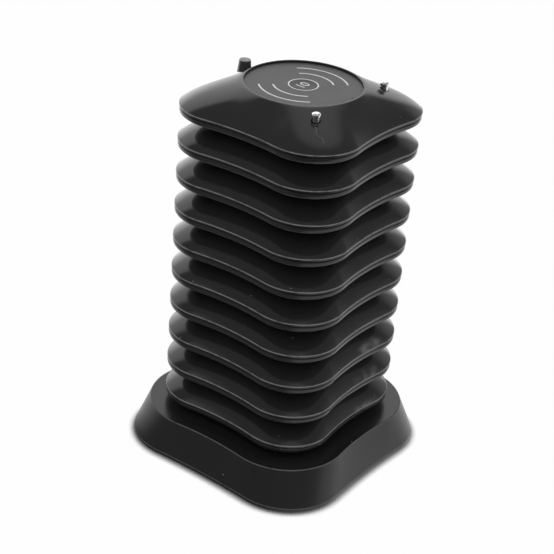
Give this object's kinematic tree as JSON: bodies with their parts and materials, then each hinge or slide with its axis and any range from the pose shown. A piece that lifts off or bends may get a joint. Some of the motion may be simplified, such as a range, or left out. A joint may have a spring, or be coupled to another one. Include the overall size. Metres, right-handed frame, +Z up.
{
  "type": "guest pager system",
  "caption": "Stack of four-lobed black guest pagers with grey top discs and mute buttons, standing on a flared charging base.",
  "frame": {"origin": "middle of the base's footprint, on the surface that it stands on", "axes": "+Z up the stack, +Y from the charging pins towards the locating posts and the power socket; the four tips point along the diagonals"},
  "size_m": [0.1174, 0.1174, 0.1906],
  "materials": {
    "gloss_black_shell": "polished black ABS",
    "gloss_black_belly": "polished black ABS, a little duller than the dome",
    "grey_print_disc": "matt grey polycarbonate disc with white printed arcs",
    "button_dark_grey": "matt dark grey cap with a white printed ring",
    "pager_works_metal": "mixed inner works: plated pins, board, cell and screws",
    "pin_chrome": "bright nickel plating on turned brass",
    "board_green": "green solder mask on glass epoxy",
    "battery_foil": "silver laminated foil",
    "screw_steel": "zinc plated pan-head screws",
    "base_satin_black": "satin black ABS",
    "base_plate_black": "satin black ABS",
    "feet_rubber": "black rubber pads",
    "jack_black": "matt black moulded socket"
  },
  "bodies": {
    "base": {"base_board": "board_green", "base_feet": "feet_rubber", "base_pins": "pin_chrome", "base_plate": "base_plate_black", "base_screws": "screw_steel", "base_shell": "base_satin_black", "power_jack": "jack_black"},
    "pager_01": {"pager_01_face_disc": "grey_print_disc", "pager_01_lower_shell": "gloss_black_belly", "pager_01_upper_shell": "gloss_black_shell", "pager_01_works": "pager_works_metal"},
    "button_01": {"pager_01_mute_button": "button_dark_grey"},
    "pager_02": {"pager_02_face_disc": "grey_print_disc", "pager_02_lower_shell": "gloss_black_belly", "pager_02_upper_shell": "gloss_black_shell", "pager_02_works": "pager_works_metal"},
    "button_02": {"pager_02_mute_button": "button_dark_grey"},
    "pager_03": {"pager_03_face_disc": "grey_print_disc", "pager_03_lower_shell": "gloss_black_belly", "pager_03_upper_shell": "gloss_black_shell", "pager_03_works": "pager_works_metal"},
    "button_03": {"pager_03_mute_button": "button_dark_grey"},
    "pager_04": {"pager_04_face_disc": "grey_print_disc", "pager_04_lower_shell": "gloss_black_belly", "pager_04_upper_shell": "gloss_black_shell", "pager_04_works": "pager_works_metal"},
    "button_04": {"pager_04_mute_button": "button_dark_grey"},
    "pager_05": {"pager_05_face_disc": "grey_print_disc", "pager_05_lower_shell": "gloss_black_belly", "pager_05_upper_shell": "gloss_black_shell", "pager_05_works": "pager_works_metal"},
    "button_05": {"pager_05_mute_button": "button_dark_grey"},
    "pager_06": {"pager_06_face_disc": "grey_print_disc", "pager_06_lower_shell": "gloss_black_belly", "pager_06_upper_shell": "gloss_black_shell", "pager_06_works": "pager_works_metal"},
    "button_06": {"pager_06_mute_button": "button_dark_grey"},
    "pager_07": {"pager_07_face_disc": "grey_print_disc", "pager_07_lower_shell": "gloss_black_belly", "pager_07_upper_shell": "gloss_black_shell", "pager_07_works": "pager_works_metal"},
    "button_07": {"pager_07_mute_button": "button_dark_grey"},
    "pager_08": {"pager_08_face_disc": "grey_print_disc", "pager_08_lower_shell": "gloss_black_belly", "pager_08_upper_shell": "gloss_black_shell", "pager_08_works": "pager_works_metal"},
    "button_08": {"pager_08_mute_button": "button_dark_grey"},
    "pager_09": {"pager_09_face_disc": "grey_print_disc", "pager_09_lower_shell": "gloss_black_belly", "pager_09_upper_shell": "gloss_black_shell", "pager_09_works": "pager_works_metal"},
    "button_09": {"pager_09_mute_button": "button_dark_grey"},
    "pager_10": {"pager_10_battery": "battery_foil", "pager_10_circuit_board": "board_green", "pager_10_contact_pins": "pin_chrome", "pager_10_face_disc": "grey_print_disc", "pager_10_lower_shell": "gloss_black_belly", "pager_10_shell_screws": "screw_steel", "pager_10_upper_shell": "gloss_black_shell"},
    "button_10": {"pager_10_mute_button": "button_dark_grey"}
  },
  "joints": [
    {"name": "lift_01", "type": "slide", "parent": "base", "child": "pager_01", "axis": [0, 0, 1], "range_m": [0, 0.03]},
    {"name": "lift_02", "type": "slide", "parent": "pager_01", "child": "pager_02", "axis": [0, 0, 1], "range_m": [0, 0.03]},
    {"name": "lift_03", "type": "slide", "parent": "pager_02", "child": "pager_03", "axis": [0, 0, 1], "range_m": [0, 0.03]},
    {"name": "lift_04", "type": "slide", "parent": "pager_03", "child": "pager_04", "axis": [0, 0, 1], "range_m": [0, 0.03]},
    {"name": "lift_05", "type": "slide", "parent": "pager_04", "child": "pager_05", "axis": [0, 0, 1], "range_m": [0, 0.03]},
    {"name": "lift_06", "type": "slide", "parent": "pager_05", "child": "pager_06", "axis": [0, 0, 1], "range_m": [0, 0.03]},
    {"name": "lift_07", "type": "slide", "parent": "pager_06", "child": "pager_07", "axis": [0, 0, 1], "range_m": [0, 0.03]},
    {"name": "lift_08", "type": "slide", "parent": "pager_07", "child": "pager_08", "axis": [0, 0, 1], "range_m": [0, 0.03]},
    {"name": "lift_09", "type": "slide", "parent": "pager_08", "child": "pager_09", "axis": [0, 0, 1], "range_m": [0, 0.03]},
    {"name": "lift_10", "type": "slide", "parent": "pager_09", "child": "pager_10", "axis": [0, 0, 1], "range_m": [0, 0.03]},
    {"name": "press_01", "type": "slide", "parent": "pager_01", "child": "button_01", "axis": [0, 0, -1], "range_m": [0, 0.0006], "stiffness_N_per_m": 800, "springref_m": -0.001},
    {"name": "press_02", "type": "slide", "parent": "pager_02", "child": "button_02", "axis": [0, 0, -1], "range_m": [0, 0.0006], "stiffness_N_per_m": 800, "springref_m": -0.001},
    {"name": "press_03", "type": "slide", "parent": "pager_03", "child": "button_03", "axis": [0, 0, -1], "range_m": [0, 0.0006], "stiffness_N_per_m": 800, "springref_m": -0.001},
    {"name": "press_04", "type": "slide", "parent": "pager_04", "child": "button_04", "axis": [0, 0, -1], "range_m": [0, 0.0006], "stiffness_N_per_m": 800, "springref_m": -0.001},
    {"name": "press_05", "type": "slide", "parent": "pager_05", "child": "button_05", "axis": [0, 0, -1], "range_m": [0, 0.0006], "stiffness_N_per_m": 800, "springref_m": -0.001},
    {"name": "press_06", "type": "slide", "parent": "pager_06", "child": "button_06", "axis": [0, 0, -1], "range_m": [0, 0.0006], "stiffness_N_per_m": 800, "springref_m": -0.001},
    {"name": "press_07", "type": "slide", "parent": "pager_07", "child": "button_07", "axis": [0, 0, -1], "range_m": [0, 0.0006], "stiffness_N_per_m": 800, "springref_m": -0.001},
    {"name": "press_08", "type": "slide", "parent": "pager_08", "child": "button_08", "axis": [0, 0, -1], "range_m": [0, 0.0006], "stiffness_N_per_m": 800, "springref_m": -0.001},
    {"name": "press_09", "type": "slide", "parent": "pager_09", "child": "button_09", "axis": [0, 0, -1], "range_m": [0, 0.0006], "stiffness_N_per_m": 800, "springref_m": -0.001},
    {"name": "press_10", "type": "slide", "parent": "pager_10", "child": "button_10", "axis": [0, 0, -1], "range_m": [0, 0.0006], "stiffness_N_per_m": 800, "springref_m": -0.001}
  ]
}
